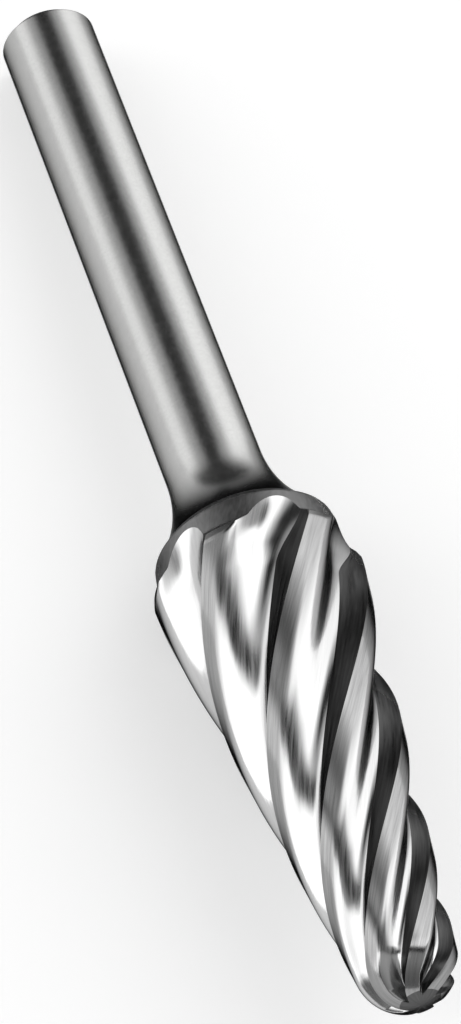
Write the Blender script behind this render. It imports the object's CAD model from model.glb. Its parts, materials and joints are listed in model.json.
import json
import math

import bpy
import numpy as np
from bpy.props import FloatProperty, FloatVectorProperty, IntProperty, PointerProperty
from mathutils import Matrix, Vector


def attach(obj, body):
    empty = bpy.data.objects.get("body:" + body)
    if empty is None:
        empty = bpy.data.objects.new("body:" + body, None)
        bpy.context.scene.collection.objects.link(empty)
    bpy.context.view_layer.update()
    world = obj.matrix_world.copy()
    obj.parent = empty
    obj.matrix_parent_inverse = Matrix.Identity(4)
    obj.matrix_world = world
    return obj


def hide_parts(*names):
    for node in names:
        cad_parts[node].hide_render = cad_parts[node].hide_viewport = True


bl_info = {
    "name": "Carbide burr",
    "version": (1, 0, 0),
    "blender": (4, 5, 0),
    "location": "3D View > Sidebar > Burr",
    "description": "Ball-nosed cone burr: ground steel shank and fluted carbide head",
    "category": "Object",
}

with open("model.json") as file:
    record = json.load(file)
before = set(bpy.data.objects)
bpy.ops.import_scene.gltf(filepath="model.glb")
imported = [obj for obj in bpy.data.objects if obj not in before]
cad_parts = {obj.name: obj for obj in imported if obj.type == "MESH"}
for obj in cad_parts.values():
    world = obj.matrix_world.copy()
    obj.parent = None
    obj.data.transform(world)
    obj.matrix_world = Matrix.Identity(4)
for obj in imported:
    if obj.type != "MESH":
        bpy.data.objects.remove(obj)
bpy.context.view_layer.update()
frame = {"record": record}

# The shank mount gives the tool axis: its axis points out of the shank end, and its point is
# the middle of the plain cylinder.
SHANK_MOUNT = next(m for m in frame["record"]["mounts"] if m["name"] == "shank")
AXIS = -np.array(SHANK_MOUNT["axis"], float)
AXIS /= np.linalg.norm(AXIS)
PLAIN_LENGTH = SHANK_MOUNT["dims"]["length_mm"] / 1000
SHANK_DIAMETER = 2 * SHANK_MOUNT["dims"]["r_mm"] / 1000
SKIN = 0.0000035  # how far the surfaces stand inside the solids, whose facets bound the part
VIEW_TILT = math.radians(34.8)  # how far the nose leans towards the camera


# ---- settings --------------------------------------------------------------------------------
class BurrSizes(bpy.types.PropertyGroup):
    """Sizes of the burr. All but the rim lead are those of its solids."""

    shank_diameter: FloatProperty(
        name="Shank diameter", description="Plain cylinder that the collet grips",
        default=SHANK_DIAMETER, min=0.001, unit="LENGTH")
    shank_chamfer: FloatProperty(
        name="Shank chamfer", description="Chamfer at the far end of the shank",
        default=0.0005, min=0.0001, unit="LENGTH")
    neck_corner: FloatProperty(
        name="Neck corner", description="From the shank end to where the neck's tangents meet",
        default=0.0391, min=0.001, unit="LENGTH")
    joint_at: FloatProperty(
        name="Joint place", description="From the shank end to where steel meets carbide",
        default=0.0417, min=0.001, unit="LENGTH")
    joint_diameter: FloatProperty(
        name="Joint diameter", description="Where the steel neck meets the carbide",
        default=0.0098, min=0.001, unit="LENGTH")
    back_chamfer: FloatProperty(
        name="Back chamfer", description="45 degree chamfer behind the head",
        default=0.00065, min=0.0, unit="LENGTH")
    rim_lead: FloatProperty(
        name="Rim lead", description="Ground stretch of each tooth before the widest ring",
        default=0.0005, min=0.0, unit="LENGTH")
    overall_length: FloatProperty(
        name="Overall length", description="Shank end to the tip of the nose",
        default=0.075, min=0.01, unit="LENGTH")
    head_diameter: FloatProperty(
        name="Head diameter", description="Largest diameter of the carbide head",
        default=0.0127, min=0.001, unit="LENGTH")
    cone_angle: FloatProperty(
        name="Cone angle", description="Included angle of the cone",
        default=math.radians(14.0), subtype="ANGLE")
    nose_radius: FloatProperty(
        name="Nose radius", description="Radius of the ball nose",
        default=0.003, min=0.0001, unit="LENGTH")


class FluteSizes(bpy.types.PropertyGroup):
    """The ground teeth of the head."""

    count: IntProperty(name="Teeth", description="Number of helical teeth", default=6, min=2)
    helix: FloatProperty(
        name="Helix angle", description="Angle of the cutting edges to the axis",
        default=math.radians(29.8), subtype="ANGLE")
    land: FloatProperty(
        name="Land width", description="Ground land behind each cutting edge",
        default=0.0008, min=0.0001, unit="LENGTH")
    depth: FloatProperty(
        name="Flute depth", description="Depth as a share of the local radius",
        default=0.23, min=0.01, max=0.6, subtype="FACTOR")
    lean: FloatProperty(
        name="Rake lean", description="How far the rake face leans in, as a share of the radius",
        default=0.17, min=0.0, max=0.5, subtype="FACTOR")
    root_share: FloatProperty(
        name="Root share", description="Share of the root in the angle from rake to relief",
        default=0.45, min=0.05, max=0.95, subtype="FACTOR")
    relief_share: FloatProperty(
        name="Relief share", description="Share of the relief in the angle from rake to heel",
        default=0.32, min=0.05, max=0.9, subtype="FACTOR")
    relief_drop: FloatProperty(
        name="Relief drop", description="Fall of the relief, as a share of the radius",
        default=0.065, min=0.0, max=0.3, subtype="FACTOR")
    rake_run_in: FloatProperty(
        name="Rake run-in", description="Length over which the rake face grows to its full height",
        default=0.0026, min=0.0001, unit="LENGTH")
    depth_run_in: FloatProperty(
        name="Depth run-in", description="Length over which the flutes reach their full depth",
        default=0.0038, min=0.0001, unit="LENGTH")
    core: FloatProperty(
        name="Nose core", description="Radius that the flutes leave round the axis at the tip",
        default=0.00085, min=0.0001, unit="LENGTH")
    last_angle: FloatProperty(
        name="Last station", description="Where the flutes run straight out, from the tip",
        default=math.radians(24.0), subtype="ANGLE")
    roll: FloatProperty(
        name="Roll", description="Turn of the first tooth at the widest ring, from the top",
        default=math.radians(39.0), subtype="ANGLE")


class MetalColours(bpy.types.PropertyGroup):
    """Colours of the metal between its grinding marks, which are lighter."""

    shank: FloatVectorProperty(
        name="Shank", description="Fine ground steel", subtype="COLOR", size=3,
        default=(0.46, 0.46, 0.455), min=0.0, max=1.0)
    neck: FloatVectorProperty(
        name="Neck", description="Steel darkened beside the joint", subtype="COLOR", size=3,
        default=(0.14, 0.14, 0.14), min=0.0, max=1.0)
    shank_end: FloatVectorProperty(
        name="Shank end", description="Turned end face and chamfer", subtype="COLOR", size=3,
        default=(0.07, 0.07, 0.07), min=0.0, max=1.0)
    back: FloatVectorProperty(
        name="Tooth backs", description="Bright ground carbide", subtype="COLOR", size=3,
        default=(0.51, 0.51, 0.51), min=0.0, max=1.0)
    land: FloatVectorProperty(
        name="Lands", description="Duller carbide behind the cutting edges", subtype="COLOR",
        size=3, default=(0.25, 0.25, 0.25), min=0.0, max=1.0)
    rake: FloatVectorProperty(
        name="Rake faces", description="Dark carbide before the cutting edges and at the tip",
        subtype="COLOR", size=3, default=(0.085, 0.085, 0.085), min=0.0, max=1.0)
    shoulder: FloatVectorProperty(
        name="Shoulder", description="Satin carbide at the back of the head", subtype="COLOR",
        size=3, default=(0.17, 0.17, 0.17), min=0.0, max=1.0)


class StageSettings(bpy.types.PropertyGroup):
    """Camera, floor and light."""

    view_tilt: FloatProperty(
        name="View tilt", description="How far the nose leans towards the camera",
        default=VIEW_TILT, subtype="ANGLE")
    view_roll: FloatProperty(
        name="View roll", description="Turn of the tool axis from the picture's vertical",
        default=math.radians(21.2), subtype="ANGLE")
    view_turn: FloatProperty(
        name="View turn", description="Turn of the camera about the tool axis, from the top",
        default=math.radians(19.9), subtype="ANGLE")
    aim: FloatProperty(
        name="Aim point", description="Distance from the shank end at the picture's centre",
        default=0.0394, min=0.0, unit="LENGTH")
    distance: FloatProperty(
        name="Camera distance", description="From the camera to the aim point",
        default=0.305, min=0.05, unit="LENGTH")
    focal: FloatProperty(
        name="Focal length", description="Of a lens on a sensor 36 mm along its long side",
        default=181.2, min=10.0, unit="CAMERA")
    floor_size: FloatProperty(
        name="Floor size", description="Side of the square floor",
        default=3.0, min=0.2, unit="LENGTH")
    floor_colour: FloatVectorProperty(
        name="Floor colour", description="Plain pale floor", subtype="COLOR", size=3,
        default=(0.82, 0.82, 0.82), min=0.0, max=1.0)


# ---- tool axis ---------------------------------------------------------------------------------
def tool_frame(sizes):
    """Origin at the middle of the shank end, and the directions up, across and along the axis."""
    middle = np.array(SHANK_MOUNT["pos_m"], float)
    origin = middle - AXIS * (PLAIN_LENGTH / 2 + sizes.shank_chamfer)
    up = np.array([0.0, 0.0, 1.0])
    up -= AXIS * up.dot(AXIS)
    up /= np.linalg.norm(up)
    return origin, up, np.cross(AXIS, up), AXIS


def place(sizes, radius, angle, along):
    """Points in the row frame from radius, angle about the axis and distance along it."""
    origin, up, across, axis = tool_frame(sizes)
    radius, angle, along = np.broadcast_arrays(radius, angle, along)
    radius = np.maximum(radius - SKIN, 0)
    x = (radius * np.cos(angle))[..., None]
    y = (radius * np.sin(angle))[..., None]
    return origin + x * up + y * across + along[..., None] * axis


# ---- mesh from a grid --------------------------------------------------------------------------
def closed_surface(name, points, first_pole, last_pole, uv, sharp):
    """Mesh object from rows of points round an axis, closed at both ends.

    points is rows x columns x 3 and wraps round in its columns; every quad joins four
    neighbours, and a fan joins each end row to its pole. uv is rows x (columns + 1) x 2, so
    that the pattern doesn't run back across the seam. sharp is a function of the two ends'
    rows and columns of each edge that says which edges stay crisp.
    """
    rows, cols = points.shape[:2]
    index = np.arange(rows * cols).reshape(rows, cols)
    around = np.roll(index, -1, axis=1)
    quads = np.stack([index[:-1], around[:-1], around[1:], index[1:]], axis=-1).reshape(-1, 4)
    poles = rows * cols + np.arange(2)
    start = np.stack([np.full(cols, poles[0]), around[0], index[0]], axis=-1)
    end = np.stack([np.full(cols, poles[1]), index[-1], around[-1]], axis=-1)
    fans = np.concatenate([start, end])

    mesh = bpy.data.meshes.new(name)
    vertices = np.concatenate([points.reshape(-1, 3), [first_pole, last_pole]])
    mesh.vertices.add(len(vertices))
    mesh.vertices.foreach_set("co", vertices.astype(np.float32).ravel())
    corners = np.concatenate([quads.ravel(), fans.ravel()])
    mesh.loops.add(len(corners))
    mesh.loops.foreach_set("vertex_index", corners.astype(np.int32))
    starts = np.concatenate([np.arange(len(quads)) * 4, len(quads) * 4 + np.arange(len(fans)) * 3])
    mesh.polygons.add(len(starts))
    mesh.polygons.foreach_set("loop_start", starts.astype(np.int32))
    mesh.update(calc_edges=True)
    mesh.polygons.foreach_set("use_smooth", np.ones(len(starts), bool))

    quad_uv = np.stack([uv[:-1, :-1], uv[:-1, 1:], uv[1:, 1:], uv[1:, :-1]], axis=2)
    start_uv = np.stack([(uv[0, :-1] + uv[0, 1:]) / 2, uv[0, 1:], uv[0, :-1]], axis=1)
    end_uv = np.stack([(uv[-1, :-1] + uv[-1, 1:]) / 2, uv[-1, :-1], uv[-1, 1:]], axis=1)
    corner_uv = np.concatenate([part.reshape(-1, 2) for part in (quad_uv, start_uv, end_uv)])
    layer = mesh.uv_layers.new(name="surface")
    layer.uv.foreach_set("vector", corner_uv.astype(np.float32).ravel())

    ends = np.empty(len(mesh.edges) * 2, np.int32)
    mesh.edges.foreach_get("vertices", ends)
    ends = ends.reshape(-1, 2)
    on_grid = (ends < rows * cols).all(axis=1)
    row_a, row_b = ends.T // cols
    col_a, col_b = ends.T % cols
    crisp = on_grid & sharp(row_a, col_a, row_b, col_b)
    mesh.attributes.new("sharp_edge", "BOOLEAN", "EDGE").data.foreach_set("value", crisp)
    mesh.validate()

    piece = bpy.data.objects.new(name, mesh)
    bpy.context.scene.collection.objects.link(piece)
    return piece


def smooth(share):
    """Share of a rise with level ends: three times its square less twice its cube."""
    return share * share * (3 - 2 * share)


# ---- shank -------------------------------------------------------------------------------------
SHANK_COLUMNS = 160
FACE_RINGS, BEVEL_STEPS, BODY_STEPS, NECK_STEPS = 7, 4, 90, 48
INNER_RING = 0.1      # radius of the end face's inmost ring, as a share of the face's
CORNER_GAP = 0.00006  # from the chamfer's corners to the rings beside it, which keep it crisp


def shank_outline(sizes):
    """Radius and distance along the axis: end face, chamfer, cylinder, and the neck, a curve
    of the second degree whose tangents are the shank and the line from corner to joint."""
    shank_r, joint_r = sizes.shank_diameter / 2, sizes.joint_diameter / 2
    face_r, plain_from = shank_r - sizes.shank_chamfer, sizes.shank_chamfer
    neck_from = plain_from + PLAIN_LENGTH
    face = np.linspace(INNER_RING, 1, FACE_RINGS) * (face_r - CORNER_GAP)
    bevel = np.linspace(0, 1, BEVEL_STEPS + 1) * sizes.shank_chamfer
    body = np.linspace(plain_from + CORNER_GAP, neck_from, BODY_STEPS + 1)
    share = np.linspace(0, 1, NECK_STEPS + 1)[1:]
    neck_r = shank_r * (1 - share**2) + joint_r * share**2
    neck = (neck_from * (1 - share) ** 2 + 2 * sizes.neck_corner * share * (1 - share)
            + sizes.joint_at * share**2)
    radius = np.concatenate([face, face_r + bevel, np.full(len(body), shank_r), neck_r])
    along = np.concatenate([np.zeros(len(face)), bevel, body, neck])
    return radius, along


# ---- head --------------------------------------------------------------------------------------
class HeadForm:
    """The head as a function of the distance along the axis and a place across one tooth."""

    RAKE, BACK, LAND = 8, 28, 6           # columns across the parts of a tooth
    LAND_FADE = 9                         # columns over which the land's tone fades
    BACK_PLACES = (0.0, 0.25, 0.66, 1.0)  # where the back's cubic passes its four points
    LEAD_IN = 0.24                        # fall of the teeth before the widest ring, per length
    BROW_LEADS, BROW_RISE = 0.8, 0.35     # brow's distance from the rim in leads, and its rise
    START_DEPTH, START_RAKE = 0.52, 0.42  # shares of the depth and the rake at the shoulder
    HAIR = 1e-8                           # added to the ball, against rounding
    HALVINGS = 40

    def __init__(self, sizes, flutes):
        self.head_r = sizes.head_diameter / 2
        self.half = sizes.cone_angle / 2
        self.nose_r = sizes.nose_radius
        self.tip = sizes.overall_length
        self.nose_centre = self.tip - self.nose_r
        self.cone_end = self.nose_centre + self.nose_r * math.sin(self.half)
        self.cone_end_r = self.nose_r * math.cos(self.half)
        self.cone_start = self.cone_end - (self.head_r - self.cone_end_r) / math.tan(self.half)
        self.joint_r = sizes.joint_diameter / 2
        self.joint = sizes.joint_at
        self.knee_r = self.joint_r + sizes.back_chamfer
        self.knee = self.joint + sizes.back_chamfer
        self.rim = self.cone_start - sizes.rim_lead
        self.rim_r = self.head_r - sizes.rim_lead * self.LEAD_IN
        self.brow = self.rim - sizes.rim_lead * self.BROW_LEADS
        self.brow_r = self.knee_r + (self.head_r - self.knee_r) * self.BROW_RISE
        if not self.knee < self.brow:
            raise ValueError("the cone starts behind the shoulder: the head is too short for it")
        self.flutes = flutes
        self.pitch = 2 * math.pi / flutes.count
        self.climb = math.tan(flutes.helix)
        self.columns = self.RAKE + self.BACK + self.LAND

    def land_share(self, column):
        """1 on the land, fading out over the columns of the back that come before it."""
        heel = self.RAKE + self.BACK
        share = smooth(np.clip((column - heel) / self.LAND_FADE + 1, 0, 1))
        return np.where(column == 0, 1.0, share)

    def shoulder(self, along):
        """Radius of the back of the head: the chamfer, then two cones out to the rim."""
        return np.interp(along, [self.joint, self.knee, self.brow, self.rim],
                         [self.joint_r, self.knee_r, self.brow_r, self.rim_r])

    def polar(self, along):
        """Angle from the tip, seen from the centre of the nose, no less than the last one cut."""
        cosine = (along - self.nose_centre) / self.nose_r
        return np.arccos(np.clip(cosine, -1, math.cos(self.flutes.last_angle)))

    def radius(self, along):
        """Radius of the blank that the flutes are measured from."""
        cone = self.head_r - (along - self.cone_start) * math.tan(self.half)
        return np.where(along < self.cone_end, cone, self.nose_r * np.sin(self.polar(along)))

    def ball(self, along):
        """Radius of the ball of the nose, and a hair more."""
        square = self.nose_r**2 - (along - self.nose_centre) ** 2
        return np.sqrt(np.maximum(square, 0)) + self.HAIR

    def turn(self, along):
        """Turn of a cutting edge: the helix's tangent times the integral of length over radius."""
        cone_r = np.clip(self.head_r - (along - self.cone_start) * math.tan(self.half),
                         self.cone_end_r, None)
        on_cone = np.log(self.head_r / cone_r) / math.sin(self.half)
        first = math.pi / 2 - self.half
        polar = np.minimum(self.polar(along), first)
        on_nose = np.log(math.tan(first / 2) / np.tan(polar / 2))
        return self.climb * (on_cone + on_nose)

    def bottom(self, along, radius):
        """Radius of the gullet: a share of the cone, and a smaller ball inside the nose."""
        ball = self.nose_r * (1 - self.flutes.depth)
        rise = np.clip(along - self.nose_centre, 0, ball)
        in_nose = np.maximum(np.sqrt(ball**2 - rise**2), self.flutes.core)
        return np.where(along < self.cone_end, radius * (1 - self.flutes.depth), in_nose)

    def run_in(self, along, start, length, first):
        """Share that grows from its first value to 1 over a length, with level ends."""
        return first + (1 - first) * smooth(np.clip((along - start) / length, 0, 1))

    def corners(self, along, radius):
        """The rake's foot, the root, the relief's foot and the heel of the tooth form.

        They are complex numbers, square to the axis, with the first cutting edge on the real
        line. The rake's foot leans in by a share of the radius, at the flute's depth. The
        root lies at that depth, at a share of the angle from there to the relief's foot, and
        the relief falls from the heel by a share of the depth.
        """
        flutes = self.flutes
        depth = (radius - self.bottom(along, radius)) * self.run_in(
            along, self.joint, flutes.depth_run_in, self.START_DEPTH)
        bottom = radius - depth
        lean = flutes.lean * radius
        foot = np.sqrt(bottom**2 - lean**2) + 1j * lean
        foot_angle = np.angle(foot)
        heel_angle = self.pitch - flutes.land / radius
        relief_angle = heel_angle - (heel_angle - foot_angle) * flutes.relief_share
        root_angle = foot_angle + (relief_angle - foot_angle) * flutes.root_share
        relief_r = radius - depth * flutes.relief_drop / flutes.depth
        reach = self.run_in(along, self.rim, flutes.rake_run_in, self.START_RAKE)
        return (radius + (foot - radius) * reach, bottom * np.exp(1j * root_angle),
                relief_r * np.exp(1j * relief_angle), radius * np.exp(1j * heel_angle))

    def across(self, along, column):
        """Radius and angle of a column of the tooth form at each distance along the axis.

        The columns run from one cutting edge down the straight rake face, which is shorter near
        the shoulder, then up the back, a cubic through the rake's foot, the root, the relief's
        foot and the heel, and over the land to the next edge.
        """
        radius = self.radius(along)
        corners = self.corners(along, radius)
        foot, heel_angle = corners[0], np.angle(corners[-1])
        on_rake = radius + (foot - radius) * np.clip(column / self.RAKE, 0, 1)
        share = np.clip((column - self.RAKE) / self.BACK, 0, 1)
        on_back = cubic_through(corners, self.BACK_PLACES, share)
        share = np.clip((column - self.columns + self.LAND) / self.LAND, 0, 1)
        on_land = radius * np.exp(1j * (heel_angle + (self.pitch - heel_angle) * share))
        point = np.select([column <= self.RAKE, column <= self.RAKE + self.BACK],
                          [on_rake, on_back], on_land)
        widest = self.head_r - np.maximum(self.cone_start - along, 0) * self.LEAD_IN
        return np.minimum(np.abs(point), np.minimum(radius, widest)), np.angle(point)

    def crossing(self, column, low, high, blank):
        """Distance along the axis at which each column leaves the blank, by halving."""
        low = np.full(column.shape, low)
        high = np.full(column.shape, high)
        outside = self.across(low, column)[0] > blank(low)
        for _ in range(self.HALVINGS):
            middle = (low + high) / 2
            same = (self.across(middle, column)[0] > blank(middle)) == outside
            low = np.where(same, middle, low)
            high = np.where(same, high, middle)
        return (low + high) / 2


def cubic_through(points, places, share):
    """Point at a share of the cubic that passes four points at four places: each point times
    the product of (share - place) over (its place - place), taken over the other places."""
    total = 0
    for own, point in enumerate(points):
        weight = 1
        for other, spot in enumerate(places):
            if other != own:
                weight = weight * (share - spot) / (places[own] - spot)
        total = total + point * weight
    return total


SHOULDER_ROWS, CONE_ROWS, NOSE_ROWS, CAP_ROWS = 26, 250, 60, 12
BEND_IN = 0.004      # length over which the rows bend to meet the shoulder
BEND_OUT_POWER = 6   # how late on the nose they bend to meet the cap
RING_TURN = 0.16     # turn of the ring at the joint, in tooth pitches
CAP_REACH = 0.97     # how near the last ring comes to the tip, as a share
CAP_SINK = 0.000005  # how far the cap lies inside the ball, from a third of the way in


def fluted_belt(form):
    """Radius, angle and distance along the axis over the fluted cone and nose.

    The rows take even steps down the cone, then even polar angles over the nose. At both ends
    they bend, so that each column starts where the flute leaves the shoulder and stops where
    it leaves the ball of the nose. The edge and the land start and stop at straight rings.
    """
    column = np.arange(form.columns, dtype=float)
    last = form.nose_centre + form.nose_r * math.cos(form.flutes.last_angle)
    straight = (column == 0) | (column >= form.columns - form.LAND)
    start = np.where(straight, form.rim, form.crossing(column, form.joint, form.rim, form.shoulder))
    stop = np.where(straight, last, form.crossing(column, last, form.tip, form.ball))

    cone = np.linspace(form.rim, form.cone_end, CONE_ROWS + 1)
    polar = np.linspace(math.pi / 2 - form.half, form.flutes.last_angle, NOSE_ROWS + 1)[1:]
    down = np.concatenate([cone, form.nose_centre + form.nose_r * np.cos(polar)])[:, None]
    bend_in = np.clip(1 - (down - form.rim) / BEND_IN, 0, 1)
    bend_out = np.clip((down - form.nose_centre) / (last - form.nose_centre), 0, 1)
    along = (down + (start - form.rim) * bend_in**2
             + (stop - last) * bend_out**BEND_OUT_POWER)
    radius, angle = form.across(along, column[None, :])
    return radius, angle + form.turn(along), along


def shoulder_belt(form, angle, along):
    """The same from an even ring at the joint to the first row of the flutes."""
    share = np.linspace(0, 1, SHOULDER_ROWS, endpoint=False)[:, None]
    ring = angle[0] + form.pitch * (np.arange(form.columns) / form.columns - RING_TURN)
    down = form.joint + (along - form.joint) * share
    return form.shoulder(down), ring + (angle - ring) * share, down


def cap_belt(form, angle, along):
    """The same from the last row of the flutes in to the tip, over the ball."""
    share = np.linspace(0, CAP_REACH, CAP_ROWS + 1)[1:, None]
    polar = np.arccos(np.clip((along - form.nose_centre) / form.nose_r, -1, 1)) * (1 - share)
    ball_r = form.nose_r - CAP_SINK * np.minimum(share * 3, 1)
    down = form.nose_centre + ball_r * np.cos(polar)
    return ball_r * np.sin(polar), np.broadcast_to(angle, polar.shape), down


def head_surface(sizes, flutes):
    """Form, points and pattern coordinates of the head, and its first and last fluted rows.

    Three belts of rows share their columns: the shoulder from the joint to the flutes, the
    fluted cone and nose, and the uncut cap at the tip. One tooth is worked out, and repeats.
    """
    form = HeadForm(sizes, flutes)
    fluted = fluted_belt(form)
    _, angle, along = fluted
    shoulder = shoulder_belt(form, angle[0], along[0])
    cap = cap_belt(form, angle[-1], along[-1])
    radius, angle, along = (np.concatenate(belts) for belts in zip(shoulder, fluted, cap))
    turns = flutes.roll + form.pitch * np.arange(flutes.count)
    angle = np.concatenate([angle + turn for turn in turns], axis=1)
    along = np.tile(along, flutes.count)
    points = place(sizes, np.tile(radius, flutes.count), angle, along)

    across = np.arange(form.columns * flutes.count + 1) * form.head_r * form.pitch / form.columns
    downwards = np.concatenate([along, along[:, :1]], axis=1)
    uv = np.stack(np.broadcast_arrays(across, downwards), axis=-1)
    return form, points, uv, SHOULDER_ROWS, SHOULDER_ROWS + len(fluted[0]) - 1


# ---- materials ---------------------------------------------------------------------------------
def new_material(name):
    """Material with its nodes, its links and its shader."""
    material = bpy.data.materials.new(name)
    material.use_nodes = True
    nodes = material.node_tree.nodes
    return material, nodes, material.node_tree.links, nodes["Principled BSDF"]


def times(nodes, links, first, second):
    """The product of two masks."""
    product = nodes.new("ShaderNodeMath")
    product.operation = "MULTIPLY"
    links.new(first, product.inputs[0])
    links.new(second, product.inputs[1])
    return product.outputs[0]


def ranged(nodes, links, value, limits, results=(0.0, 1.0), curve="LINEAR"):
    """The value mapped from one range to another, and held at its ends."""
    node = nodes.new("ShaderNodeMapRange")
    node.interpolation_type = curve
    links.new(value, node.inputs["Value"])
    for name, number in zip(("From Min", "From Max", "To Min", "To Max"), (*limits, *results)):
        node.inputs[name].default_value = number
    return node.outputs["Result"]


def mixed(nodes, links, factor, first, second):
    """Colour from the first to the second by a factor. The first may come from a node."""
    mix = nodes.new("ShaderNodeMix")
    mix.data_type = "RGBA"
    links.new(factor, mix.inputs["Factor"])
    mix.inputs["B"].default_value = (*second, 1.0)
    if isinstance(first, bpy.types.NodeSocket):
        links.new(first, mix.inputs["A"])
    else:
        mix.inputs["A"].default_value = (*first, 1.0)
    return mix.outputs["Result"]


FINE_SHARE = 0.55           # share of the fine marks in the sum
MARK_SPREAD = (0.35, 0.65)  # heights between which the mask goes from 0 to 1


def ground_marks_group():
    """Node group: fine grinding marks that run along the second coordinate.

    Noise is stretched along that coordinate, once fine and once coarse, and their weighted
    sum gives a height about 0.5 and a mask for tone and roughness.
    """
    group = bpy.data.node_groups.get("ground_marks")
    if group:
        return group
    group = bpy.data.node_groups.new("ground_marks", "ShaderNodeTree")
    face = group.interface
    face.new_socket("Vector", in_out="INPUT", socket_type="NodeSocketVector")
    for name, value in (("Fine scale", 9000.0), ("Coarse scale", 1800.0), ("Stretch", 0.03)):
        socket = face.new_socket(name, in_out="INPUT", socket_type="NodeSocketFloat")
        socket.default_value = value
    face.new_socket("Height", in_out="OUTPUT", socket_type="NodeSocketFloat")
    face.new_socket("Mask", in_out="OUTPUT", socket_type="NodeSocketFloat")
    nodes, links = group.nodes, group.links
    entry = nodes.new("NodeGroupInput")
    leave = nodes.new("NodeGroupOutput")
    squeeze = nodes.new("ShaderNodeCombineXYZ")
    squeeze.inputs["X"].default_value = 1.0
    squeeze.inputs["Z"].default_value = 1.0
    links.new(entry.outputs["Stretch"], squeeze.inputs["Y"])
    stretched = nodes.new("ShaderNodeVectorMath")
    stretched.operation = "MULTIPLY"
    links.new(entry.outputs["Vector"], stretched.inputs[0])
    links.new(squeeze.outputs[0], stretched.inputs[1])
    both = nodes.new("ShaderNodeMix")
    both.inputs["Factor"].default_value = 1 - FINE_SHARE
    for scale, name in (("Fine scale", "A"), ("Coarse scale", "B")):
        noise = nodes.new("ShaderNodeTexNoise")
        links.new(stretched.outputs[0], noise.inputs["Vector"])
        links.new(entry.outputs[scale], noise.inputs["Scale"])
        links.new(noise.outputs["Fac"], both.inputs[name])
    height = both.outputs["Result"]
    links.new(height, leave.inputs["Height"])
    links.new(ranged(nodes, links, height, MARK_SPREAD), leave.inputs["Mask"])
    return group


MARK_HEIGHT = 0.00002  # of the deepest grinding marks, before a bump's strength
LAND_STREAKS = 0.6     # least share of the land's colour in the tone, where the mask is 0


def ground_metal(name, colour, marks, lift, roughness, bump, edge=0.0, neck=None, land=None):
    """Metal with grinding marks, whose mask mixes two tones and two roughnesses.

    The lighter tone is the colour times lift. marks are the values of the marks' group, bump
    is their strength, and edge is the tint of the metal near grazing angles. neck darkens the
    metal along its length: the two distances between which that sets in, and the colour that
    it ends at. land is the colour of the lands, which the piece's attribute of that name
    marks, and which the grinding marks streak.
    """
    material, nodes, links, shader = new_material(name)
    shader.inputs["Metallic"].default_value = 1.0
    shader.inputs["Specular Tint"].default_value = (edge, edge, edge, 1.0)
    source = nodes.new("ShaderNodeUVMap")
    source.uv_map = "surface"
    group = nodes.new("ShaderNodeGroup")
    group.node_tree = ground_marks_group()
    for socket, value in marks.items():
        group.inputs[socket].default_value = value
    links.new(source.outputs["UV"], group.inputs["Vector"])
    mask = group.outputs["Mask"]
    tone = mixed(nodes, links, mask, colour, [part * lift for part in colour])
    if neck:
        start, end, dark = neck
        parts = nodes.new("ShaderNodeSeparateXYZ")
        links.new(source.outputs["UV"], parts.inputs[0])
        reach = ranged(nodes, links, parts.outputs["Y"], (start, end), curve="SMOOTHSTEP")
        tone = mixed(nodes, links, reach, tone, dark)
    if land:
        on_land = nodes.new("ShaderNodeAttribute")
        on_land.attribute_name = "land"
        streaks = ranged(nodes, links, mask, (0.0, 1.0), (LAND_STREAKS, 1.0))
        reach = times(nodes, links, on_land.outputs["Fac"], streaks)
        tone = mixed(nodes, links, reach, tone, land)
    links.new(tone, shader.inputs["Base Color"])
    links.new(ranged(nodes, links, mask, (0.0, 1.0), roughness), shader.inputs["Roughness"])
    height = nodes.new("ShaderNodeBump")
    height.inputs["Strength"].default_value = bump
    height.inputs["Distance"].default_value = MARK_HEIGHT
    links.new(group.outputs["Height"], height.inputs["Height"])
    links.new(height.outputs["Normal"], shader.inputs["Normal"])
    return material


FINE_GRIT = {"Fine scale": 6000.0, "Coarse scale": 1500.0, "Stretch": 1.0}
LONG_MARKS = {"Fine scale": 9000.0, "Coarse scale": 2500.0, "Stretch": 0.05}
SHORT_MARKS = {"Fine scale": 7000.0, "Coarse scale": 2500.0, "Stretch": 0.3}
DARK_FROM, DARK_TO = 0.0375, 0.0415  # from the shank end, where the neck darkens to the joint


def shank_steel(colours):
    return ground_metal("shank_steel", colours.shank, FINE_GRIT, lift=1.087, roughness=(0.20, 0.26),
                        bump=0.05, neck=(DARK_FROM, DARK_TO, colours.neck))


def turned_steel(colours):
    return ground_metal("turned_steel", colours.shank_end, FINE_GRIT, lift=1.71,
                        roughness=(0.34, 0.48), bump=0.3)


def ground_carbide(colours):
    return ground_metal("ground_carbide", colours.back, LONG_MARKS, lift=1.137,
                        roughness=(0.12, 0.22), bump=0.2, land=colours.land)


def satin_carbide(colours):
    return ground_metal("satin_carbide", colours.shoulder, SHORT_MARKS, lift=1.35,
                        roughness=(0.34, 0.46), bump=0.3, edge=0.1)


def rake_carbide(colours):
    return ground_metal("rake_carbide", colours.rake, LONG_MARKS, lift=1.71,
                        roughness=(0.26, 0.40), bump=0.3)


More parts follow.
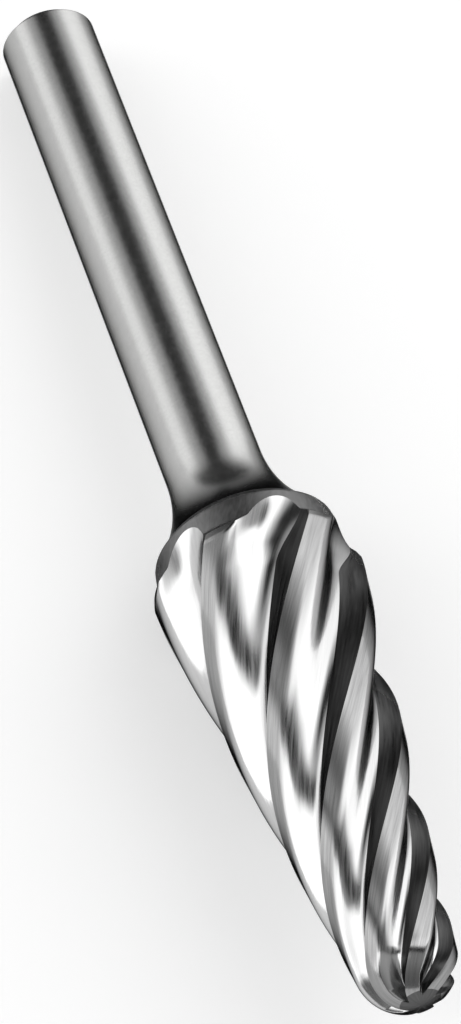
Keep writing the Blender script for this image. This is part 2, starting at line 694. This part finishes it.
# ---- operators ---------------------------------------------------------------------------------
class BURR_OT_make_shank(bpy.types.Operator):
    """Make the ground steel shank with its flared neck"""

    bl_idname = "burr.make_shank"
    bl_label = "Steel shank"

    def execute(self, context):
        sizes = context.scene.burr_sizes
        colours = context.scene.burr_colours
        radius, along = shank_outline(sizes)
        angle = np.arange(SHANK_COLUMNS) * 2 * math.pi / SHANK_COLUMNS
        points = place(sizes, radius[:, None], angle[None, :], along[:, None])
        across = np.arange(SHANK_COLUMNS + 1) * math.pi * sizes.shank_diameter / SHANK_COLUMNS
        uv = np.stack(np.broadcast_arrays(across[None, :], along[:, None]), axis=-1)
        last_row = len(radius) - 1

        def sharp(row_a, col_a, row_b, col_b):
            return (row_a == last_row) & (row_b == last_row)

        poles = place(sizes, np.zeros(2), np.zeros(2), np.array([0, sizes.joint_at]))
        piece = closed_surface("shank", points, poles[0], poles[1], uv, sharp)
        for material in (shank_steel(colours), turned_steel(colours)):
            piece.data.materials.append(material)
        ground, turned = range(2)
        end_rows = np.searchsorted(along, sizes.shank_chamfer)
        slots = np.full(len(piece.data.polygons), turned, np.int32)
        slots[end_rows * SHANK_COLUMNS: last_row * SHANK_COLUMNS] = ground
        slots[(last_row + 1) * SHANK_COLUMNS:] = ground
        piece.data.polygons.foreach_set("material_index", slots)
        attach(piece, "root")
        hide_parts("steel_shank")
        return {"FINISHED"}


class BURR_OT_make_head(bpy.types.Operator):
    """Make the carbide head with its helical teeth"""

    bl_idname = "burr.make_head"
    bl_label = "Carbide head"

    def execute(self, context):
        sizes = context.scene.burr_sizes
        flutes = context.scene.burr_flutes
        colours = context.scene.burr_colours
        form, points, uv, first_row, last_row = head_surface(sizes, flutes)
        crisp_columns = (0, form.RAKE, form.columns - form.LAND)

        def sharp(row_a, col_a, row_b, col_b):
            place_a, place_b = col_a % form.columns, col_b % form.columns
            in_belt = np.minimum(row_a, row_b) >= first_row
            in_belt &= np.maximum(row_a, row_b) <= last_row
            down = in_belt & (place_a == place_b) & np.isin(place_a, crisp_columns)
            return down | ((row_a == row_b) & np.isin(row_a, (0, first_row, last_row)))

        poles = place(sizes, np.zeros(2), np.zeros(2), np.array([form.joint, form.tip]))
        piece = closed_surface("head", points, poles[0], poles[1], uv, sharp)
        for material in (ground_carbide(colours), satin_carbide(colours), rake_carbide(colours)):
            piece.data.materials.append(material)
        columns = points.shape[1]
        in_tooth = np.arange(columns) % form.columns
        land = np.append(np.tile(form.land_share(in_tooth), len(points)), (0, 0))
        piece.data.attributes.new("land", "FLOAT", "POINT").data.foreach_set("value", land)
        bright, satin, dark = range(3)
        slots = np.full(len(piece.data.polygons), dark, np.int32)
        slots[: first_row * columns] = satin
        slots[first_row * columns: last_row * columns] = np.tile(
            np.where(in_tooth < form.RAKE, dark, bright), last_row - first_row)
        piece.data.polygons.foreach_set("material_index", slots)
        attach(piece, "root")
        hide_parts("carbide_head")
        return {"FINISHED"}


class BURR_OT_make_stage(bpy.types.Operator):
    """Make the floor, the light and the camera"""

    bl_idname = "burr.make_stage"
    bl_label = "Stage"

    def execute(self, context):
        scene = context.scene
        sizes = scene.burr_sizes
        stage = scene.burr_stage
        toward, side = view_directions(sizes, stage)
        make_floor(stage)
        make_world(sizes, toward, side)
        make_camera(sizes, stage, toward, side)
        scene.view_settings.view_transform = "Standard"
        return {"FINISHED"}


# ---- stage -------------------------------------------------------------------------------------
def view_directions(sizes, stage):
    """Unit vectors square to the axis: towards the camera, and to the right in the picture."""
    _, up, across, _ = tool_frame(sizes)
    turn = stage.view_turn
    toward = up * math.cos(turn) + across * math.sin(turn)
    side = up * math.sin(turn) - across * math.cos(turn)
    return toward, side


def make_camera(sizes, stage, toward, side):
    """Camera that sees the nose lean towards it by the view tilt, the axis turned by the roll."""
    origin, _, _, axis = tool_frame(sizes)
    aim = origin + axis * stage.aim
    back = axis * math.sin(stage.view_tilt) + toward * math.cos(stage.view_tilt)
    down = axis * math.cos(stage.view_tilt) - toward * math.sin(stage.view_tilt)
    right = side * math.cos(stage.view_roll) + down * math.sin(stage.view_roll)
    up = side * math.sin(stage.view_roll) - down * math.cos(stage.view_roll)
    data = bpy.data.cameras.new("camera")
    data.lens = stage.focal
    data.clip_start = 0.01
    data.clip_end = 20.0
    camera = bpy.data.objects.new("camera", data)
    turn = Matrix([right, up, back]).transposed().to_4x4()
    camera.matrix_world = Matrix.Translation(Vector(aim + back * stage.distance)) @ turn
    bpy.context.scene.collection.objects.link(camera)
    bpy.context.scene.camera = camera


FLOOR_LIFT = 0.36  # light of its own that the floor adds where it is seen or mirrored


def make_floor(stage):
    """Square of pale paper, lifted a little towards white where it is seen or mirrored."""
    half = stage.floor_size / 2
    mesh = bpy.data.meshes.new("floor")
    mesh.from_pydata([(-half, -half, 0), (half, -half, 0), (half, half, 0), (-half, half, 0)],
                     [], [(0, 1, 2, 3)])
    floor = bpy.data.objects.new("floor", mesh)
    bpy.context.scene.collection.objects.link(floor)
    material, nodes, links, shader = new_material("floor_paper")
    shader.inputs["Base Color"].default_value = (*stage.floor_colour, 1.0)
    shader.inputs["Roughness"].default_value = 0.9
    shader.inputs["Specular IOR Level"].default_value = 0.0
    shader.inputs["Emission Color"].default_value = (1.0, 1.0, 1.0, 1.0)
    path = nodes.new("ShaderNodeLightPath")
    seen = path.outputs["Is Camera Ray"]
    for name in ("Is Glossy Ray", "Is Transmission Ray"):
        either = nodes.new("ShaderNodeMath")
        either.operation = "MAXIMUM"
        links.new(seen, either.inputs[0])
        links.new(path.outputs[name], either.inputs[1])
        seen = either.outputs[0]
    lift = nodes.new("ShaderNodeMath")
    lift.operation = "MULTIPLY"
    lift.inputs[1].default_value = FLOOR_LIFT
    links.new(seen, lift.inputs[0])
    links.new(lift.outputs[0], shader.inputs["Emission Strength"])
    mesh.materials.append(material)


def band(nodes, links, direction, vector, low, high, soft):
    """1 where the direction's part along a vector lies between two values, with soft ends.

    An end beyond 1 or -1 is open.
    """
    part = nodes.new("ShaderNodeVectorMath")
    part.operation = "DOT_PRODUCT"
    links.new(direction, part.inputs[0])
    part.inputs[1].default_value = tuple(vector)
    mask = None
    for end, results in ((low, (0.0, 1.0)), (high, (1.0, 0.0))):
        if abs(end) <= 1:
            side = ranged(nodes, links, part.outputs["Value"], (end - soft, end + soft), results,
                          curve="SMOOTHSTEP")
            mask = side if mask is None else times(nodes, links, mask, side)
    return mask


def round_axis(angle):
    """Direction that a plain shank mirrors at an angle about the axis from the camera's side."""
    turn = math.radians(angle)
    reach = math.cos(VIEW_TILT)
    return (reach * math.cos(turn), reach * math.sin(turn), -math.sin(VIEW_TILT))


# The studio: soft boxes and dark flags round the burr, each laid over the ones before it. A row
# is a brightness and the bands that bound it, and a band is a vector, the range of a direction's
# part along it, and the softness of its ends. Vectors are in parts towards the camera square to
# the axis, to the right, and along the axis to the nose, or in the row frame where it says so.
ALONG = (0.0, 0.0, 1.0)
RIGHTWARDS = (0.0, 1.0, 0.0)
FLAG_WAY = ("frame", (0.907, -0.269, -0.325))
LENGTHWAYS = ("frame", (1.0, 0.0, 0.0))
SIDEWAYS = ("frame", (0.0, 1.0, 0.0))
ROOM = 0.47
STUDIO = (
    # soft box behind the burr, and its dimmer lower part
    (2.2, ((FLAG_WAY, -2, -0.31, 0.03), (ALONG, -0.47, 2, 0.06), (SIDEWAYS, -0.5, 2, 0.15))),
    (1.1, ((FLAG_WAY, -2, -0.31, 0.03), (ALONG, -0.47, 2, 0.06), (SIDEWAYS, -2, -0.55, 0.15))),
    # soft box in front, and the dark beyond its end
    (2.35, ((FLAG_WAY, -0.21, 2, 0.03), (LENGTHWAYS, -2, 0.28, 0.16), (SIDEWAYS, -2, -0.12, 0.08))),
    (0.14, ((LENGTHWAYS, 0.30, 2, 0.06), (SIDEWAYS, -2, -0.6, 0.1))),
    (0.24, ((LENGTHWAYS, 0.7, 2, 0.3),)),
    # lights at both sides of the shank, and a dimmer and a dark flag between them
    (1.7, ((round_axis(80), 0.86, 2, 0.14),)),
    (1.52, ((round_axis(-64), 0.86, 2, 0.14),)),
    (0.53, ((round_axis(10), 0.84, 2, 0.12),)),
    (0.02, ((round_axis(10), 0.958, 2, 0.035),)),
    (0.03, ((RIGHTWARDS, -0.08, 0.28, 0.1), (ALONG, -2, -0.62, 0.05))),
    # dark room behind the shank end
    (0.06, ((ALONG, -2, -0.84, 0.1),)),
    # thin flag between the two soft boxes
    (0.0, ((FLAG_WAY, -0.36, -0.17, 0.035), (SIDEWAYS, -0.75, 0.72, 0.1))),
)


def make_world(sizes, toward, side):
    """Studio of soft boxes and flags, which polished metal shows as bright and dark bands."""
    basis = np.array([toward, side, tool_frame(sizes)[3]])
    world = bpy.data.worlds.new("studio")
    world.use_nodes = True
    bpy.context.scene.world = world
    nodes, links = world.node_tree.nodes, world.node_tree.links
    direction = nodes.new("ShaderNodeTexCoord").outputs["Generated"]
    light = None
    for level, bands in STUDIO:
        mask = None
        for vector, low, high, soft in bands:
            vector = np.array(vector[1]) if vector[0] == "frame" else np.array(vector) @ basis
            piece = band(nodes, links, direction, vector, low, high, soft)
            mask = piece if mask is None else times(nodes, links, mask, piece)
        over = nodes.new("ShaderNodeMix")
        over.inputs["A"].default_value = ROOM
        over.inputs["B"].default_value = level
        links.new(mask, over.inputs["Factor"])
        if light is not None:
            links.new(light, over.inputs["A"])
        light = over.outputs["Result"]
    background = nodes["Background"]
    background.inputs["Color"].default_value = (1.0, 1.0, 1.0, 1.0)
    links.new(light, background.inputs["Strength"])


# ---- panel and registration --------------------------------------------------------------------
class BURR_PT_panel(bpy.types.Panel):
    """Sizes and operators of the burr"""

    bl_label = "Carbide burr"
    bl_idname = "BURR_PT_panel"
    bl_space_type = "VIEW_3D"
    bl_region_type = "UI"
    bl_category = "Burr"

    def draw(self, context):
        layout = self.layout
        for name in SETTINGS:
            settings = getattr(context.scene, name)
            box = layout.box()
            for value in settings.__annotations__:
                box.prop(settings, value)
        for operator in OPERATORS:
            layout.operator(operator.bl_idname)


OPERATORS = (BURR_OT_make_shank, BURR_OT_make_head, BURR_OT_make_stage)
SETTINGS = {"burr_sizes": BurrSizes, "burr_flutes": FluteSizes, "burr_colours": MetalColours,
            "burr_stage": StageSettings}
CLASSES = (*SETTINGS.values(), *OPERATORS, BURR_PT_panel)


def register():
    for cls in CLASSES:
        bpy.utils.register_class(cls)
    for name, cls in SETTINGS.items():
        setattr(bpy.types.Scene, name, PointerProperty(type=cls))


def unregister():
    for name in SETTINGS:
        delattr(bpy.types.Scene, name)
    for cls in reversed(CLASSES):
        bpy.utils.unregister_class(cls)


def main():
    register()
    bpy.ops.burr.make_shank()
    bpy.ops.burr.make_head()
    bpy.ops.burr.make_stage()


if __name__ == "__main__":
    main()
